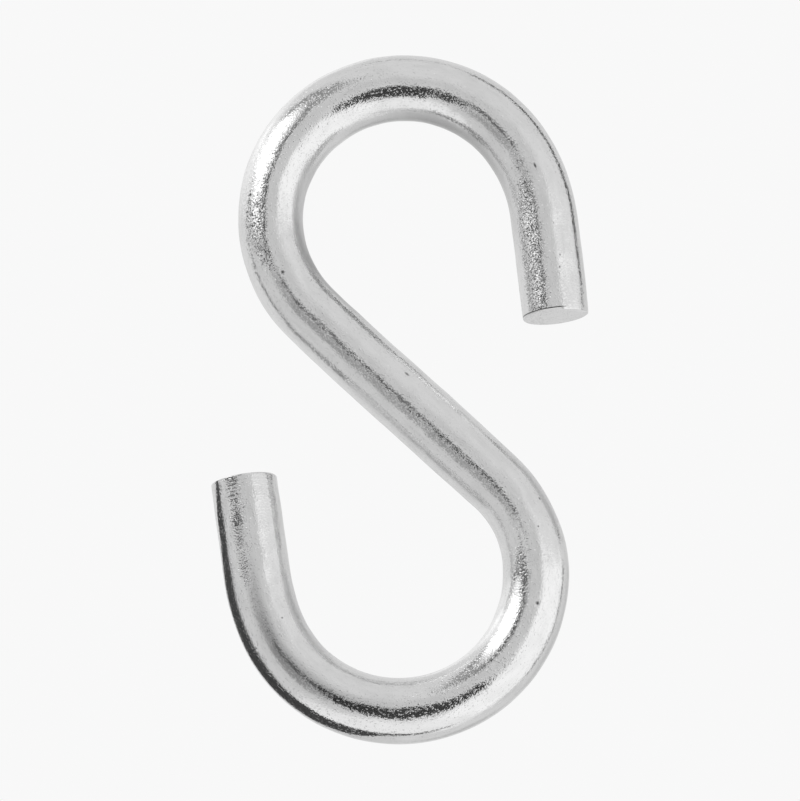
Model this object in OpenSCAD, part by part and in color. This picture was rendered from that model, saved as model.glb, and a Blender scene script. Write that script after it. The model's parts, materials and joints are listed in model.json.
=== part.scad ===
// S hook: one length of round steel rod, cropped at both ends and bent cold into an S.
// The rod's centre line lies in the XZ plane. The origin is the seat of the upper bowl, the
// point that rests on the bar it hangs from. The seat of the lower bowl is straight below it
// on the Z axis, so a load pulls along Z. The bowls are joined by a straight shank, and each
// bowl opens through a gentler shoulder bend into a straight tip that leans outwards.

/* [Rod] */
// Diameter of the round rod
rod_d = 8; // [4:0.5:12]
// Rounding of the edge at each cropped end
tip_edge_r = 0.5; // [0.1:0.1:1.5]

/* [Overall] */
// Distance from seat to seat, which is the height less two rod diameters
seat_gap = 68.9; // [64:0.1:120]

/* [Upper bowl] */
// Inner radius of the upper bowl
upper_inner_r = 12.25; // [8:0.05:15]
// Angle that the upper bowl runs on past its seat before the shoulder, degrees
upper_past_seat = 52; // [20:1:70]
// Inner radius of the upper shoulder bend
upper_shoulder_r = 15.5; // [13:0.5:30]
// Outward lean of the upper tip from the line of pull, degrees
upper_flare = 7.6; // [0.2:0.2:18]
// Straight length of the upper tip
upper_tip_l = 12.5; // [2:0.1:20]

/* [Lower bowl] */
// Inner radius of the lower bowl
lower_inner_r = 12.4; // [8:0.05:15]
// Angle that the lower bowl runs on past its seat before the shoulder, degrees
lower_past_seat = 64; // [20:1:70]
// Inner radius of the lower shoulder bend
lower_shoulder_r = 20.5; // [13:0.5:30]
// Outward lean of the lower tip from the line of pull, degrees
lower_flare = 8.8; // [0.2:0.2:18]
// Straight length of the lower tip
lower_tip_l = 11.8; // [2:0.1:20]

/* [Hidden] */
$fn = 96;

// The shank is the straight line that touches both bowls' centre lines from opposite sides.
centre_gap = seat_gap - upper_inner_r - lower_inner_r;
bend_radii = upper_inner_r + lower_inner_r + rod_d;
shank_lean = asin(bend_radii / centre_gap);
shank_l = sqrt(pow(centre_gap, 2) - pow(bend_radii, 2));

// The stretches of rod are laid out end to end in metres, and the whole rod is scaled up to
// millimetres once. At that scale their faces meet closely enough to join as one solid.
mm = 0.001;

// A straight stretch of rod along +Z, with what follows it placed at its far end.
module straight(length) {
    cylinder(h = length * mm, d = rod_d * mm);
    translate([0, 0, length * mm]) children();
}

// A bend that starts along +Z and turns towards +X, with what follows it at its far end.
module bend(inner_r, angle) {
    centre_r = (inner_r + rod_d / 2) * mm;
    translate([centre_r, 0, 0]) {
        rotate([90, 0, 0])
            rotate_extrude(angle = angle, start = 180 - angle)
                translate([centre_r, 0]) circle(d = rod_d * mm);
        rotate([0, angle, 0]) translate([-centre_r, 0, 0]) children();
    }
}

// The last straight stretch, along +Z, cropped square at its end with the edge rounded.
module tip(length) {
    flat_r = (rod_d / 2 - tip_edge_r) * mm;
    side_l = (length - tip_edge_r) * mm;
    rotate_extrude() {
        square([rod_d / 2 * mm, side_l]);
        square([flat_r, length * mm]);
        translate([flat_r, side_l]) intersection() {
            circle(r = tip_edge_r * mm);
            square(tip_edge_r * mm);
        }
    }
}

// From the upper seat, on over the bowl's crown to the upper tip.
module mouth_side() {
    bend(upper_inner_r, upper_past_seat)
        bend(upper_shoulder_r, 90 - upper_past_seat - upper_flare)
            tip(upper_tip_l);
}

// From the upper seat, round the back of the bowl, down the shank and round the lower bowl,
// which turns the other way, to the lower tip.
module shank_side() {
    bend(upper_inner_r, 90 + shank_lean)
        straight(shank_l)
            rotate([0, 0, 180])
                bend(lower_inner_r, 90 + shank_lean + lower_past_seat)
                    bend(lower_shoulder_r, 90 - lower_past_seat - lower_flare)
                        tip(lower_tip_l);
}

// The whole rod, laid out both ways from the crown of the upper bowl, above its seat.
module hook() {
    color("gainsboro") scale(1 / mm)
        translate([0, 0, rod_d / 2 * mm]) {
            rotate([0, 90, 0]) mouth_side();
            rotate([0, 90, 180]) shank_side();
        }
}

hook();
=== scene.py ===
"""An S hook of round steel rod, bent cold and bright zinc plated, hung in a tent of white cloth.

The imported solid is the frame. The rod's thickness, the bowls' radii and their places are read
from its box and its record. The sizes of the tips and shoulders are the same millimetres and
degrees as in the part's source.
"""

import json

import bpy
import numpy as np
from mathutils import Matrix, Vector


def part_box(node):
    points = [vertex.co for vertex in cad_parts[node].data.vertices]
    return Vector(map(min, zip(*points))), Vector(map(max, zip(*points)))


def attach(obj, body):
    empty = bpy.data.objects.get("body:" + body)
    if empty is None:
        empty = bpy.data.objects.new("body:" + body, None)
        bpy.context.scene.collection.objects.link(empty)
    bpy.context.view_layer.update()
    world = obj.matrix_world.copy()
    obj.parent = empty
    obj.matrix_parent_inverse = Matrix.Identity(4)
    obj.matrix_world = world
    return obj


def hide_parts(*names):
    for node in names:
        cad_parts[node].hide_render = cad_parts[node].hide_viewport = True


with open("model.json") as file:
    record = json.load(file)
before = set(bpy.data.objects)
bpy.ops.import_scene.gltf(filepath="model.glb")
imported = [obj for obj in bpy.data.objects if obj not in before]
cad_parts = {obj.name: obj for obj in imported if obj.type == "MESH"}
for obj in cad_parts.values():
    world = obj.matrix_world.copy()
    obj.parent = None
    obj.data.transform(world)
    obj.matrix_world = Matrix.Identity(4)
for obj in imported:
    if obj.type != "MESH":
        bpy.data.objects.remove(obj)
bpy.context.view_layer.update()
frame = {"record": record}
MM = 0.001

# ---------------------------------------------------------------------------------------------
# Rod. One length of cold drawn steel, cropped at both ends in a shear and bent cold round a
# pin at each end, then barrel plated in bright zinc. It is one piece from tip to tip, so its
# look is all in its skin: drawn steel, pressed bends, barrel dents, torn ends and zinc grain.
# ---------------------------------------------------------------------------------------------
box_low, box_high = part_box("hook")
rod_r = (box_high.y - box_low.y) / 2
mounts = {mount["name"]: mount for mount in frame["record"]["mounts"]}
seat_gap = mounts["upper_bowl"]["pos_m"][2] - mounts["lower_bowl"]["pos_m"][2]
upper_inner_r = mounts["upper_bowl"]["dims"]["r_mm"] * MM
lower_inner_r = mounts["lower_bowl"]["dims"]["r_mm"] * MM

upper_tip_l = 12.5 * MM
upper_shoulder_r = 15.5 * MM + rod_r
upper_flare = np.radians(7.6)
upper_past_seat = np.radians(52)
lower_tip_l = 11.8 * MM
lower_shoulder_r = 20.5 * MM + rod_r
lower_flare = np.radians(8.8)
lower_past_seat = np.radians(64)

upper_bowl_r = upper_inner_r + rod_r
lower_bowl_r = lower_inner_r + rod_r
centre_gap = seat_gap - upper_inner_r - lower_inner_r
shank_lean = np.arcsin((upper_bowl_r + lower_bowl_r) / centre_gap)
shank_l = np.sqrt(centre_gap**2 - (upper_bowl_r + lower_bowl_r) ** 2)

# From the upper tip's end to the lower tip's: how far each stretch turns, to the left where it
# is positive, and how long it is.
right_angle = np.pi / 2
turns = np.array([
    0,
    right_angle - upper_past_seat - upper_flare,
    upper_past_seat + right_angle + shank_lean,
    0,
    -(shank_lean + right_angle + lower_past_seat),
    -(right_angle - lower_past_seat - lower_flare),
    0,
])
lengths = np.array([
    upper_tip_l,
    upper_shoulder_r * turns[1],
    upper_bowl_r * turns[2],
    shank_l,
    -lower_bowl_r * turns[4],
    -lower_shoulder_r * turns[5],
    lower_tip_l,
])
rod_l = lengths.sum()


def from_upper_end(along):
    """Place (x, z) from the upper end, and heading, of the centre line at each distance from it.

    Each stretch takes its share of the distance, clipped to its own length. A share a that
    turns by t adds a chord of length a sin(t/2) / (t/2) in the direction of its mean heading,
    and the chords of all the stretches add up to the place.
    """
    starts = np.cumsum(lengths) - lengths
    share = np.clip(along[:, None] - starts, 0, lengths)
    turned = share * turns / lengths
    before = right_angle + upper_flare + np.cumsum(turns) - turns
    chord = share * np.sinc(turned / (2 * np.pi))
    mean = before + turned / 2
    place = np.stack([(chord * np.cos(mean)).sum(1), (chord * np.sin(mean)).sum(1)], 1)
    return place, right_angle + upper_flare + turned.sum(1)


crown_l = upper_tip_l + lengths[1] + upper_bowl_r * upper_past_seat
crown = from_upper_end(np.array([crown_l]))[0]


def centre_line(along):
    """The same with the place from the frame's origin, the rod's radius below the crown."""
    place, heading = from_upper_end(along)
    return place - crown + (0, rod_r), heading


# Flats that the bending pins pressed in, and swellings where the depth is below 0: millimetres
# along the rod, degrees round it, reach along the rod and depth.
pin_flats = [
    (7.5, 180, 6, -0.15),
    (50, 0, 8, -0.09),
    (64, 180, 9, 0.15),
    (96, 0, 10, -0.07),
    (113, 180, 7, 0.28),
    (118, 0, 4, -0.12),
    (134, 180, 11, 0.06),
    (170, 180, 9, -0.07),
]


def pressed(along, around, flats):
    """The rod's flats: each a bell curve along it, times the squared cosine from its own side."""
    at, facing, reach, depth = np.array(flats).T
    side = np.clip(np.cos(around[..., None] - np.radians(facing)), 0, 1) ** 2
    bell = np.exp(-(((along[..., None] / MM - at) / reach) ** 2))
    return -(depth * MM * side * bell).sum(-1)


def bowed(along, around, at, reach, aside):
    """A slight bow left in the rod: its section slides to the left, by a bell curve along it."""
    return aside * MM * np.cos(around) * np.exp(-(((along / MM - at) / reach) ** 2))


def waves(along, around, seed, count, longest, depth):
    """The drawn skin's slight waviness: a sum of sine waves that run along and round the rod.

    Each has a random length and slant, a whole number of turns round the rod so that it
    closes, and a height that grows with its length, so that all of them are equally steep.
    """
    shortest_share, most_turns = 0.2, 5
    random = np.random.default_rng(seed)
    length = longest * MM * random.uniform(shortest_share, 1, count)
    round_count = random.integers(-most_turns, most_turns + 1, count)
    phase = random.uniform(0, 2 * np.pi, count)
    angle = 2 * np.pi * along[..., None] / length + around[..., None] * round_count + phase
    height = depth * MM * length / (longest * MM) / np.sqrt(count)
    return (height * np.sin(angle)).sum(-1)


# Deeper marks: millimetres along the rod, degrees round it, radius, depth and stretch.
named_dents = [
    (88.0, 51, 0.28, 0.035, 4.5),
    (90.4, 64, 0.45, 0.050, 1),
    (71.2, 94, 0.40, 0.045, 1),
    (123.8, 80, 0.45, 0.045, 1),
    (67.8, 114, 0.45, 0.040, 1),
    (80.9, 110, 0.60, 0.030, 1),
    (91.0, 112, 0.70, 0.030, 1),
    (94.3, 107, 0.55, 0.030, 1),
    (97.6, 112, 0.60, 0.035, 1),
    (105.1, 114, 0.55, 0.030, 1),
]


def barrel_dents(seed, count, deepest):
    """Random dents from tumbling in the plating barrel, most of them faint, in the same form."""
    margin = 1
    random = np.random.default_rng(seed)
    at = random.uniform(margin, rod_l / MM - margin, count)
    facing = random.uniform(0, 360, count)
    radius = random.uniform(0.35, 0.9, count)
    depth = deepest * random.uniform(0.2, 1, count) ** 2
    return np.stack([at, facing, radius, depth, np.ones(count)], 1)


def dents(along, around, places):
    """Small dents, each a bell-shaped hollow, which a stretch over 1 draws out along the rod."""
    at, facing, radius, depth, stretch = np.array(places).T
    step_along = (along[..., None] / MM - at) / stretch
    step_round = (around[..., None] - np.radians(facing) + np.pi) % (2 * np.pi) - np.pi
    far = (step_along**2 + (step_round * rod_r / MM) ** 2) / radius**2
    return -(depth * MM * np.exp(-2 * far)).sum(-1)


def rod_skin(along, around):
    """How far the skin stands out from a true round, sunk so that no wave leaves the round."""
    wave_depth = 0.02
    return (
        pressed(along, around, pin_flats)
        + bowed(along, around, at=84, reach=10, aside=-0.16)
        + waves(along, around, seed=3, count=22, longest=9, depth=wave_depth)
        - wave_depth * MM
        + dents(along, around, barrel_dents(seed=8, count=110, deepest=0.022))
        + dents(along, around, named_dents)
    )


def sheared_end(around, tilt, tilt_facing, roll, roll_facing, lip, lip_from, lip_to):
    """Depth below the crop, and radius, of the rings from the middle of an end to its side.

    The face is flat out to a rounded edge, whose radius swells from its least value to roll
    on the side that the blade met first. The whole face is tilted, and where it tore off last
    a thin lip stands out round the rim, between two angles. Sizes are in millimetres and
    angles in degrees.
    """
    least_roll = 0.06
    face_rings, edge_rings = 14, 8
    lip_rise, lip_fall, lip_thinness = 6, 25, 10
    facing = (1 - np.cos(around - np.radians(roll_facing))) / 2
    edge = (roll + (least_roll - roll) * facing) * MM
    flat = np.linspace(0, 1, face_rings + 1)[1:, None]
    corner = np.radians(np.linspace(0, 90, edge_rings + 1)[1:, None])
    radius = np.concatenate([flat * (rod_r - edge), rod_r - edge * (1 - np.sin(corner))])
    depth = np.concatenate([np.zeros((face_rings, len(around))), edge * (1 - np.cos(corner))])
    out = radius / rod_r
    depth = depth - tilt * MM * out * np.cos(around - np.radians(tilt_facing))
    rise = np.clip((np.degrees(around) - lip_from) / lip_rise, 0, 1)
    fall = np.clip((lip_to - np.degrees(around)) / lip_fall, 0, 1)
    depth = depth - lip * MM * out**lip_thinness * rise * fall
    return depth, radius


# Points on a ring, rings along the rod's side, and how far from the ends the side's rings start.
ring_points, side_rings = 128, 700
ends_l = 1.1 * MM


def following(depth, rim):
    """How far rings at that depth from an end move to follow its rim, which fades out.

    A rim at its even depth moves nothing, and its tilt and lip are what differs from that.
    """
    fade_l, even_rim = 3 * MM, 0.5 * MM
    share = np.clip(1 - (depth - ends_l) / fade_l, 0, 1) ** 2
    return share * (rim - even_rim)


def rod_rings():
    """Distance along the rod, angle round it and radius, of every point on every ring.

    Rings run from the middle of the upper end, out and over its edge, along the rod and in to
    the middle of the lower end. The skin counts in full on the side and fades to nothing at
    the middle of an end. The front and back keep inside the flat faces of the solid's box.
    """
    skin_fade, least_sine = 6, 0.5
    around = np.linspace(0, 2 * np.pi, ring_points, endpoint=False)
    upper_depth, upper_radius = sheared_end(
        around, tilt=0.06, tilt_facing=300, roll=0.24, roll_facing=50,
        lip=0.32, lip_from=97, lip_to=172)
    lower_depth, lower_radius = sheared_end(
        around, tilt=0.12, tilt_facing=150, roll=0.32, roll_facing=180,
        lip=0.12, lip_from=200, lip_to=290)
    side = np.linspace(ends_l, rod_l - ends_l, side_rings)[:, None]
    side = np.broadcast_to(side, (side_rings, ring_points))
    moved = following(side, upper_depth[-1]) - following(rod_l - side, lower_depth[-1])
    along = np.concatenate([upper_depth, side + moved, rod_l - lower_depth[::-1]])
    angle = np.broadcast_to(around, along.shape)
    radius = np.concatenate([upper_radius, np.full_like(side, rod_r), lower_radius[::-1]])
    on_side = np.clip(radius / rod_r, 0, 1) ** skin_fade
    radius = radius + rod_skin(along, angle) * on_side
    in_box = rod_r / np.maximum(np.abs(np.sin(angle)), least_sine)
    return along, angle, np.minimum(radius, in_box)


def carried(along, angle, radius):
    """Places of the rings' points: each ring square to the centre line, at its mean distance.

    A point lies at its radius from the centre line, at an angle of 0 on the left of the
    heading and 90 degrees on the front, where Y is negative. What its own distance differs
    from the ring's moves it along the heading.
    """
    mid_along = np.clip(along.mean(1), 0, rod_l)
    place, heading = centre_line(mid_along)
    level = np.zeros_like(heading)
    ahead = np.stack([np.cos(heading), level, np.sin(heading)], 1)[:, None]
    left = np.stack([-np.sin(heading), level, np.cos(heading)], 1)[:, None]
    front = np.array([0, -1, 0])
    centre = np.stack([place[:, 0], level, place[:, 1]], 1)[:, None]
    points = (
        centre
        + ahead * (along - mid_along[:, None])[..., None]
        + left * (radius * np.cos(angle))[..., None]
        + front * (radius * np.sin(angle))[..., None]
    )
    return np.clip(points, np.array(box_low), np.array(box_high))


def closed_faces(rings, sides):
    """Squares between neighbouring rings, and a fan of triangles at each end, facing outwards.

    Points are numbered ring by ring, and the middle points of the two ends come last.
    """
    spoke = np.arange(sides)
    next_spoke = (spoke + 1) % sides
    ring_start = np.arange(rings - 1)[:, None] * sides
    first, second = ring_start + spoke, ring_start + next_spoke
    quads = np.stack([first, second, second + sides, first + sides], -1).reshape(-1, 4)
    last = (rings - 1) * sides
    start_pole = np.full(sides, rings * sides)
    start_fan = np.stack([start_pole, next_spoke, spoke], 1)
    end_fan = np.stack([start_pole + 1, last + spoke, last + next_spoke], 1)
    return quads.tolist() + start_fan.tolist() + end_fan.tolist()


def with_poles(grid):
    """All of a grid's points in a row, then the mean of its first ring and of its last."""
    return np.concatenate([grid.reshape(-1, 3), grid[:1].mean(1), grid[-1:].mean(1)])


def rod_mesh(name):
    """The rod as one closed mesh, which also keeps each point's place on the rod unbent.

    That place is the distance along the rod, then the parts of the radius toward the left and
    toward the front.
    """
    along, angle, radius = rod_rings()
    mesh = bpy.data.meshes.new(name)
    points = with_poles(carried(along, angle, radius))
    mesh.from_pydata(points.tolist(), [], closed_faces(*along.shape))
    mesh.polygons.foreach_set("use_smooth", np.ones(len(mesh.polygons), bool))
    unbent = np.stack([along, radius * np.cos(angle), radius * np.sin(angle)], -1)
    unbent_place = mesh.attributes.new("straight_rod", "FLOAT_VECTOR", "POINT")
    unbent_place.data.foreach_set("vector", with_poles(unbent).astype(np.float32).ravel())
    mesh.update()
    return mesh


# Pinholes in the plating: millimetres along the rod, degrees round it, radius and stretch.
pinholes = [
    (5.1, 105, 0.08, 1.8),
    (6.6, 108, 0.08, 1.5),
    (17.9, 94.5, 0.13, 2.6),
    (71.2, 94, 0.22, 1.0),
    (73.9, 56, 0.10, 1.0),
    (90.6, 62, 0.16, 2.2),
    (111.8, 46, 0.13, 1.0),
    (114.7, 73, 0.085, 1.2),
    (123.7, 80, 0.22, 1.0),
    (164.8, 110, 0.10, 1.0),
]


def add_node(tree, kind, inputs=None, **settings):
    """A new node of that kind, with its settings, and its inputs set or linked by name."""
    node = tree.nodes.new(kind)
    for setting, value in settings.items():
        setattr(node, setting, value)
    for name, value in (inputs or {}).items():
        if isinstance(value, bpy.types.NodeSocket):
            tree.links.new(value, node.inputs[name])
        else:
            node.inputs[name].default_value = value
    return node


def node_math(tree, operation, *values):
    """One step of sums on numbers, in the nodes of that tree."""
    inputs = dict(enumerate(values))
    return add_node(tree, "ShaderNodeMath", inputs, operation=operation).outputs[0]


def grey(shade):
    """That shade as a colour."""
    return (shade, shade, shade, 1)


def bright_zinc():
    """Bright zinc plate over drawn steel: a near mirror, broken by fine grain and drawn lines.

    Every pattern is read from the place on the straight rod, so it follows the bends: X runs
    along the rod, Y from its middle to the left of the heading and Z to the front.
    """
    material = bpy.data.materials.new("bright_zinc")
    material.use_nodes = True
    tree = material.node_tree
    shader = tree.nodes["Principled BSDF"]
    unbent = add_node(tree, "ShaderNodeAttribute", attribute_name="straight_rod")
    place = unbent.outputs["Vector"]
    part = add_node(tree, "ShaderNodeSeparateXYZ", {"Vector": place}).outputs

    def grain(scale, stretch, detail=2.0, shift=0.0):
        """Noise with so many grains to a millimetre, drawn out along the rod."""
        moved = add_node(tree, "ShaderNodeMapping", {
            "Vector": place,
            "Location": (shift, 0, 0),
            "Scale": (scale / stretch / MM, scale / MM, scale / MM),
        })
        noise = {"Vector": moved.outputs[0], "Scale": 1.0, "Detail": detail}
        return add_node(tree, "ShaderNodeTexNoise", noise).outputs["Fac"]

    def remap(value, low, high, to_low, to_high):
        """The value from low..high to to_low..to_high, clipped."""
        return add_node(tree, "ShaderNodeMapRange", {
            "Value": value,
            "From Min": low,
            "From Max": high,
            "To Min": to_low,
            "To Max": to_high,
        }).outputs[0]

    def bump(height, depth, under=None, strength=1.0):
        """A bump of that depth in millimetres, on top of another."""
        sockets = {"Height": height, "Distance": depth * MM, "Strength": strength}
        if under is not None:
            sockets["Normal"] = under
        return add_node(tree, "ShaderNodeBump", sockets).outputs[0]

    def sums(operation, *values):
        """One step of sums on the pattern's numbers."""
        return node_math(tree, operation, *values)

    def vector_sums(operation, *values, result="Vector"):
        """One step of sums on the pattern's places and directions."""
        inputs = dict(enumerate(values))
        return add_node(tree, "ShaderNodeVectorMath", inputs, operation=operation).outputs[result]

    def past(value, none, full):
        """0 before one size in millimetres and 1 past the other, with a ramp between them."""
        return remap(value, none * MM, full * MM, 0.0, 1.0)

    def near(value, middle, full, none, most=1.0):
        """The most within full millimetres of the middle, falling to 0 at none millimetres."""
        off = sums("ABSOLUTE", sums("SUBTRACT", value, middle * MM))
        return remap(off, full * MM, none * MM, most, 0.0)

    def patch(middle, full, none, across, most=1.0):
        """A patch of skin near that middle along the rod, times what bounds it across the rod."""
        return sums("MULTIPLY", near(part["X"], middle, full, none, most), across)

    def highest(first, *others):
        """The highest of several masks."""
        for other in others:
            first = sums("MAXIMUM", first, other)
        return first

    # Scuffed skin, where small facets lie at all tilts: faint patches all over, and strong ones
    # inside the upper tip, outside the upper bowl and along the shank's lower side.
    scuffed = highest(
        remap(grain(0.9, stretch=1.3, detail=1.0, shift=25.0), 0.57, 0.66, 0.14, 0.6),
        patch(0, 15, 20, past(part["Y"], 0.8, 1.4)),
        patch(62, 6, 10, past(part["Y"], -0.4, -1.2)),
        patch(96, 12, 17, near(part["Y"], -1.35, 0.5, 1.0), 0.6),
    )
    facets_per_mm, steepest = 6.5, 0.20
    facet_place = add_node(tree, "ShaderNodeMapping", {
        "Vector": place,
        "Scale": (facets_per_mm / MM, facets_per_mm / MM, facets_per_mm / MM),
    }).outputs[0]
    cells = {"Vector": facet_place, "Scale": 1.0}
    facet = add_node(tree, "ShaderNodeTexVoronoi", cells).outputs["Color"]
    scaled = {
        0: vector_sums("SUBTRACT", facet, (0.5, 0.5, 0.5)),
        "Scale": sums("MULTIPLY", scuffed, steepest),
    }
    tilt = add_node(tree, "ShaderNodeVectorMath", scaled, operation="SCALE").outputs[0]

    # Drawn lines, grain, pits, and short ripples round the lower tip, from the shear.
    drawn_lines = grain(7.0, stretch=30.0, detail=1.0)
    fine_grain = grain(5.5, stretch=1.1, detail=1.0)
    pits = remap(grain(4.5, stretch=1.3, detail=1.0, shift=60.0), 0.60, 0.70, 0.0, 1.0)
    ripples = grain(0.35, stretch=0.08, detail=0.0, shift=5.0)
    near_end = past(part["X"], rod_l / MM - 3.6, rod_l / MM - 2.2)
    normal = bump(drawn_lines, depth=0.004)
    normal = bump(fine_grain, depth=0.014, under=normal)
    normal = bump(pits, depth=0.014, under=normal)
    normal = bump(ripples, depth=0.012, under=normal, strength=near_end)
    normal = vector_sums("NORMALIZE", vector_sums("ADD", normal, tilt))
    tree.links.new(normal, shader.inputs["Normal"])

    # Painted shade on the inner side of the upper bowl, where it leaves for the shank too, and a
    # painted dark reflection in a streak up the front of the lower tip's bend.
    streak = sums("MULTIPLY", near(part["Y"], 0.8, 0.4, 1.1), past(part["Z"], 0.0, 1.0))
    painted_shade = highest(
        patch(28, 5, 22, past(part["Y"], 3.0, 3.9)),
        patch(74.5, 3, 11, past(part["Y"], 2.9, 3.5)),
        patch(160, 6, 15, streak, 0.78),
    )

    # A painted shadow line in the upper end's rounded edge, on its front and left, and the
    # pinholes.
    off_middle = vector_sums("MULTIPLY", place, (0.0, 1.0, 1.0))
    on_rim = past(vector_sums("LENGTH", off_middle, result="Value"), 3.4, 3.7)
    on_front = sums("MULTIPLY", past(part["Y"], -1.4, -0.6), past(part["Z"], 0.0, 0.5))
    pits_and_painted_shadow = patch(0.20, 0.04, 0.10, sums("MULTIPLY", on_front, on_rim), 0.85)
    for at, facing, radius, stretch in pinholes:
        facing = np.radians(facing)
        middle = (at * MM, rod_r * np.cos(facing), rod_r * np.sin(facing))
        off = vector_sums("SUBTRACT", place, middle)
        off = vector_sums("MULTIPLY", off, (1 / stretch, 1.0, 1.0))
        far = vector_sums("LENGTH", off, result="Value")
        pits_and_painted_shadow = highest(pits_and_painted_shadow, past(far, 1.4 * radius, 0.3 * radius))

    # Clean plate, with cloudy places, painted shade, and pinholes and painted shadow over it in
    # turn.
    clean_shade, cloudy_shade, painted_shade_grey, pit_and_shadow_grey = 0.82, 0.76, 0.46, 0.06
    cloudy = remap(grain(1.2, stretch=3.0, detail=3.0, shift=7.0), 0.4, 0.7, 0.0, 1.0)
    colour = grey(clean_shade)
    for cover, shade in ((cloudy, cloudy_shade), (painted_shade, painted_shade_grey), (pits_and_painted_shadow, pit_and_shadow_grey)):
        layers = {"Fac": cover, "Color1": colour, "Color2": grey(shade)}
        colour = add_node(tree, "ShaderNodeMixRGB", layers).outputs[0]
    tree.links.new(colour, shader.inputs["Base Color"])

    # The polish varies from patch to patch, and it is worst inside the upper bowl, on both sides
    # of the shank's lower half and inside the lower tip's bend.
    rough = highest(
        remap(grain(0.6, stretch=2.0, detail=3.0, shift=90.0), 0.35, 0.65, 0.05, 0.13),
        patch(64, 8, 13, past(part["Y"], 2.2, 2.9), 0.35),
        patch(110, 4, 8, past(part["Y"], 2.5, 2.9), 0.34),
        patch(104.5, 17, 21, past(part["Y"], -2.8, -3.2), 0.22),
        patch(163.5, 6, 11, past(part["Y"], -2.3, -2.8), 0.34),
    )
    tree.links.new(rough, shader.inputs["Roughness"])
    shader.inputs["Metallic"].default_value = 1.0
    return material


rod = bpy.data.objects.new("bent_rod", rod_mesh("bent_rod"))
bpy.context.scene.collection.objects.link(rod)
rod.data.materials.append(bright_zinc())
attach(rod, "root")
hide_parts("hook")

# ---------------------------------------------------------------------------------------------
# Floor. A round white board, well below the hook, which hangs clear of it. It is left out of
# the rod's reflections, where the tent's own floor stands in for it.
# ---------------------------------------------------------------------------------------------
floor_drop = 0.37
floor_r = 3.0
floor_sides = 96


def floor_board():
    """A disc with that many sides, at one height."""
    angle = np.linspace(0, 2 * np.pi, floor_sides, endpoint=False)
    height = np.full(floor_sides, box_low.z - floor_drop)
    corners = np.stack([np.cos(angle) * floor_r, np.sin(angle) * floor_r, height], 1)
    mesh = bpy.data.meshes.new("floor")
    mesh.from_pydata(corners.tolist(), [], [list(range(floor_sides))])
    return mesh


def matt_paint(name, shade):
    """Flat paint of one shade, with no shine at all."""
    paint = bpy.data.materials.new(name)
    paint.use_nodes = True
    shader = paint.node_tree.nodes["Principled BSDF"]
    shader.inputs["Base Color"].default_value = grey(shade)
    shader.inputs["Roughness"].default_value = 1.0
    shader.inputs["Specular IOR Level"].default_value = 0.0
    return paint


floor = bpy.data.objects.new("floor", floor_board())
bpy.context.scene.collection.objects.link(floor)
floor.visible_glossy = False
floor.data.materials.append(matt_paint("white_board", 1.0))

# ---------------------------------------------------------------------------------------------
# Tent. White cloth all round, which is plain to the eye. What the polished rod mirrors is its
# panels: a soft box high on the left in its black frame, a bright wall on the right, the seams
# of the backdrop, and the dark gear round the camera.
# ---------------------------------------------------------------------------------------------
scene = bpy.context.scene
scene.view_settings.view_transform = "Standard"
world = bpy.data.worlds.new("white_tent")
scene.world = world
world.use_nodes = True
tent = world.node_tree
white = 0.94


def tent_math(operation, *values):
    """One step of sums on the tent's numbers."""
    return node_math(tent, operation, *values)


# The turn and rise of each direction: degrees to the right of the front, from -180 to 180, and
# degrees above the horizon.
one_radian = float(np.degrees(1))
direction = add_node(tent, "ShaderNodeTexCoord").outputs["Generated"]
part_of = add_node(tent, "ShaderNodeSeparateXYZ", {0: direction}).outputs
toward_front = tent_math("MULTIPLY", part_of["Y"], -1.0)
turn = tent_math("MULTIPLY", tent_math("ARCTAN2", part_of["X"], toward_front), one_radian)
rise = tent_math("MULTIPLY", tent_math("ARCSINE", part_of["Z"]), one_radian)


def soft_step(value, edge, soft):
    """0 above the edge and 1 below it, blurred by soft each way."""
    sockets = {"Value": value, "From Min": edge + soft, "From Max": edge - soft}
    return add_node(
        tent, "ShaderNodeMapRange", sockets, interpolation_type="SMOOTHSTEP").outputs[0]


def away(value, middle):
    """How far the value is from the middle."""
    return tent_math("ABSOLUTE", tent_math("SUBTRACT", value, middle))


def out_from(turn_mid, turn_half, height, rise_mid, rise_half):
    """How far out from an ellipse's middle, where its edge is at 1."""
    across = tent_math("POWER", tent_math("DIVIDE", away(turn, turn_mid), turn_half), 2.0)
    up = tent_math("POWER", tent_math("DIVIDE", away(height, rise_mid), rise_half), 2.0)
    return tent_math("SQRT", tent_math("ADD", across, up))


def over(under, bright, cover):
    """Mixes a brightness over what lies under it, by how much it covers."""
    factor, first, second = 0, 2, 3
    return add_node(tent, "ShaderNodeMix", {factor: cover, first: under, second: bright}).outputs[0]


def panel(under, bright, turn_mid, turn_half, rise_mid, rise_half, soft):
    """Paints an upright soft-edged rectangle of that brightness over what lies under it."""
    across = soft_step(away(turn, turn_mid), turn_half, soft)
    up = soft_step(away(rise, rise_mid), rise_half, soft)
    return over(under, bright, tent_math("MULTIPLY", across, up))


def spot(under, bright, turn_mid, turn_half, rise_mid, rise_half, soft, lean=0.0):
    """Paints a soft-edged ellipse, which rises by lean for each degree to the right."""
    leant = tent_math("MULTIPLY", tent_math("SUBTRACT", turn, turn_mid), lean)
    height = tent_math("SUBTRACT", rise, leant)
    out = out_from(turn_mid, turn_half, height, rise_mid, rise_half)
    return over(under, bright, soft_step(out, 1.0, soft / min(turn_half, rise_half)))


def ring(under, bright, turn_mid, turn_half, rise_mid, rise_half, width, soft):
    """Paints the upper part of a soft-edged oval band, so many degrees wide where narrowest."""
    lowest, lowest_soft = 14.0, 4.0
    out = out_from(turn_mid, turn_half, rise, rise_mid, rise_half)
    off = tent_math("MULTIPLY", away(out, 1.0), min(turn_half, rise_half))
    upper_part = soft_step(tent_math("MULTIPLY", rise, -1.0), -lowest, lowest_soft)
    return over(under, bright, tent_math("MULTIPLY", soft_step(off, width / 2, soft), upper_part))


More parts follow.
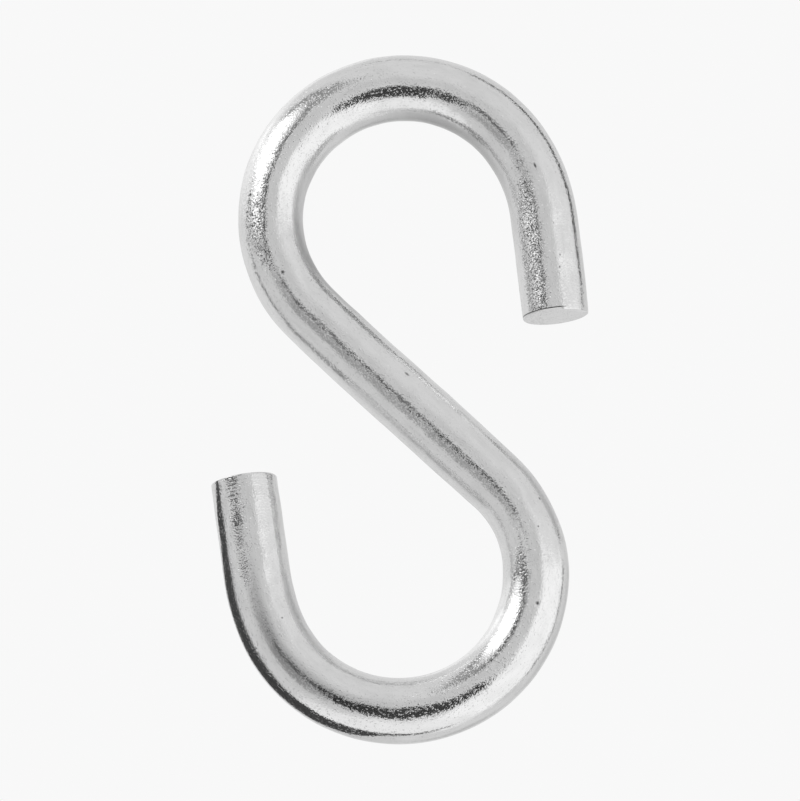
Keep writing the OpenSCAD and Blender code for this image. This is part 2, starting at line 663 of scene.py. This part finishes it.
# Each is painted over those before it: its brightness, the middle and half width of its turn,
# the middle and half height of its rise, a ring's width, and its softness. First comes the
# cloth, with a greyer patch over the camera and the lit floor.
light = 0.76
light = panel(light, 0.66, 0, 26, 13, 12, 8)
light = panel(light, 0.98, 0, 200, -90, 42, 8)
# The back on the right, with its darker folds, then the floor at the back and the wall on its left.
light = panel(light, 0.78, 165, 35, 38, 14, 8)
light = panel(light, 0.74, 132, 28, 0, 55, 8)
light = panel(light, 0.62, 142, 12, -2, 18, 8)
light = spot(light, 0.58, 164, 14, -27, 12, 6)
light = panel(light, 0.76, 180, 46, -58, 22, 8)
light = panel(light, 0.70, -180, 60, -52, 28, 8)
light = panel(light, 0.80, -136, 30, -8, 22, 8)
light = panel(light, 0.66, -180, 20, -28, 14, 8)
# The right wall, bright in its lower part, and the lower part of the left wall.
light = panel(light, 0.82, 66, 38, 22, 14, 10)
light = panel(light, 1.08, 63, 38, -20, 37, 5)
light = panel(light, 0.69, -60, 38, -19, 27, 5)
# The backdrop's dark seams on the right and the left, and a fold at the foot of the left one.
light = panel(light, 0.22, 107, 2.4, -6, 23, 1.5)
light = panel(light, 0.24, -98, 4.5, -16, 19, 2)
light = spot(light, 0.28, -109, 9, -36, 6, 4)
# The soft box: the glow round it, its frame, the cloth at the back that it lights, and its face.
light = spot(light, 0.98, -50, 30, 22, 14, 5)
light = ring(light, 0.28, -58, 40, 29.5, 26, 8, 2.5)
light = panel(light, 0.98, -132, 42, 32, 15, 6)
light = spot(light, 1.3, -122, 15, 35, 5, 4)
light = spot(light, 2.4, -63, 25, 34.5, 12, 5, lean=-0.17)
# The dark gear on the left of the camera.
light = spot(light, 0.36, -34, 10, -17, 14, 5)
light = spot(light, 0.12, -18, 8, -4, 7, 3)

ray = add_node(tent, "ShaderNodeLightPath").outputs
plain = tent_math("MAXIMUM", ray["Is Camera Ray"], ray["Is Diffuse Ray"])
tent.links.new(over(light, white, plain), tent.nodes["Background"].inputs["Color"])

# ---------------------------------------------------------------------------------------------
# Dark boards. Five boards of matt dark card that only the rod mirrors: a strip curled close
# round the lower bowl and tip for its black edge, a post on the right, a rail overhead, the
# lower half of the soft box's oval frame, and the lens's hood.
# ---------------------------------------------------------------------------------------------
strip_gap = 2 * MM
strip_from, strip_to = rod_l - 36.8 * MM, rod_l + 4 * MM
strip_lead = 8 * MM
strip_front, strip_back = -1.9 * MM, 4.5 * MM
post_distance = 300 * MM
post_from, post_to = np.radians((106, 121))
post_low, post_high = 74 * MM, 830 * MM
rail_left, rail_right, rail_middle = -200 * MM, 290 * MM, 30 * MM
rail_back, rail_bow, rail_bow_reach = 245 * MM, 45 * MM, 190 * MM
rail_half, rail_height = 18 * MM, 800 * MM

# A band's two edges, on either side of its middle line.
two_edges = np.array([[-1], [1]])


def curled_strip():
    """A strip at one gap from the rod's left side, its front edge even and its back edge bowed.

    The centre line gives its way, and past the tip it runs straight on. At a share t of its
    length it is as wide as sin(pi t^0.78), so it is widest before its middle, and a thin lead
    tapers off before its start.
    """
    steps, columns = 72, 3
    early, lead_share = 0.78, 0.12
    along = np.linspace(strip_from - strip_lead, strip_to, steps)
    place, heading = centre_line(np.minimum(along, rod_l))
    ahead = np.stack([np.cos(heading), np.sin(heading)], 1)
    left = np.stack([-np.sin(heading), np.cos(heading)], 1)
    place = place + ahead * np.maximum(along - rod_l, 0)[:, None] + left * (rod_r + strip_gap)
    share = np.clip((along - strip_from) / (strip_to - strip_from), 0, 1)
    lead = np.clip((along - strip_from + strip_lead) / strip_lead, 0, 1)
    swell = np.maximum(np.sin(np.pi * share**early), lead_share * lead)
    across = np.linspace(0, 1, columns)[:, None]
    depth = strip_front + across * swell * (strip_back - strip_front)
    aside, height = (np.broadcast_to(part, depth.shape) for part in place.T)
    return np.stack([aside, depth, height], -1)


def upright_post():
    """A piece of an upright cylinder round the hook: the sine and cosine of each turn."""
    steps = 9
    turn_to = np.linspace(post_from, post_to, steps)
    turn_to, height = np.meshgrid(turn_to, (post_low, post_high))
    aside, depth = np.sin(turn_to) * post_distance, -np.cos(turn_to) * post_distance
    return np.stack([aside, depth, height], -1)


def overhead_rail():
    """A narrow level band high over the hook, whose middle line is a parabola bowed backward."""
    steps = 30
    aside = np.linspace(rail_left, rail_right, steps)
    bow = rail_back - rail_bow * ((aside - rail_middle) / rail_bow_reach) ** 2
    edges = bow + two_edges * rail_half
    aside = np.broadcast_to(aside, edges.shape)
    return np.stack([aside, edges, np.full_like(edges, rail_height)], -1)


def far_off(turn_to, rise_to, distance, height):
    """Points in those directions in degrees, at one distance from a point at that height."""
    turn_to, rise_to = np.radians(turn_to), np.radians(rise_to)
    flat = np.cos(rise_to)
    unit = np.stack([np.sin(turn_to) * flat, -np.cos(turn_to) * flat, np.sin(rise_to)], -1)
    return unit * distance + (0, 0, height)


def frame_arc():
    """The lower half of an oval band: an ellipse in turn and rise, scaled in and out for its edges.

    Its half width swells by a bell curve, and is widest a little to the right of its foot.
    """
    turn_mid, turn_half = -58, 40
    rise_mid, rise_half = 28.5, 24.5
    arc_from, arc_to, steps = -148, -8, 48
    narrow, swell, widest_at, swell_reach = 2.8, 3.2, -70, 24
    round_it = np.linspace(arc_from, arc_to, steps)
    half_width = narrow + swell * np.exp(-(((round_it - widest_at) / swell_reach) ** 2))
    grow = 1 + two_edges * half_width / rise_half
    turn_to = turn_mid + turn_half * np.cos(np.radians(round_it)) * grow
    rise_to = rise_mid + rise_half * np.sin(np.radians(round_it)) * grow
    return far_off(turn_to, rise_to, distance=350 * MM, height=-15 * MM)


def lens_hood():
    """An oval disc: an ellipse in turn and rise, from a tiny ring at its middle to its rim."""
    turn_mid, turn_half = 2, 20.5
    rise_mid, rise_half = -22.5, 19.5
    rim_points, tiny = 49, 0.01
    round_it = np.linspace(0, 2 * np.pi, rim_points)
    size = np.array([[tiny], [1]])
    turn_to = turn_mid + turn_half * np.cos(round_it) * size
    rise_to = rise_mid + rise_half * np.sin(round_it) * size
    return far_off(turn_to, rise_to, distance=950 * MM, height=-35 * MM)


def dark_board(name, points, shade):
    """A matt board with its faces between the neighbours of a grid, seen only by mirrors."""
    rows, columns = points.shape[:2]
    corner = (np.arange(rows - 1)[:, None] * columns + np.arange(columns - 1)).ravel()
    quads = np.stack([corner, corner + 1, corner + 1 + columns, corner + columns], 1)
    mesh = bpy.data.meshes.new(name)
    mesh.from_pydata(points.reshape(-1, 3).tolist(), [], quads.tolist())
    mesh.materials.append(matt_paint(name, shade))
    board = bpy.data.objects.new(name, mesh)
    scene.collection.objects.link(board)
    board.visible_camera = False
    board.visible_diffuse = False
    board.visible_shadow = False


dark_board("curled_strip", curled_strip(), 0.12)
dark_board("upright_post", upright_post(), 0.11)
dark_board("overhead_rail", overhead_rail(), 0.20)
dark_board("frame_arc", frame_arc(), 0.12)
dark_board("lens_hood", lens_hood(), 0.06)

# ---------------------------------------------------------------------------------------------
# Camera. A long lens, a little below the hook and square to its plane, very slightly rolled.
# ---------------------------------------------------------------------------------------------
camera_rise = np.radians(-13)
camera_roll = np.radians(1)
camera_distance = 1.25
aim = Vector((-0.162 * MM, 0, -34.825 * MM))
lens_mm, sensor_mm = 467.1, 36

camera = bpy.data.objects.new("camera", bpy.data.cameras.new("camera"))
scene.collection.objects.link(camera)
camera.data.lens = lens_mm
camera.data.sensor_width = sensor_mm
back = Vector((0, -np.cos(camera_rise), np.sin(camera_rise)))
camera.location = aim + back * camera_distance
aimed = back.to_track_quat("Z", "Y").to_matrix() @ Matrix.Rotation(camera_roll, 3, "Z")
camera.rotation_euler = aimed.to_euler()
camera.data.clip_start, camera.data.clip_end = 0.1, 10
scene.camera = camera
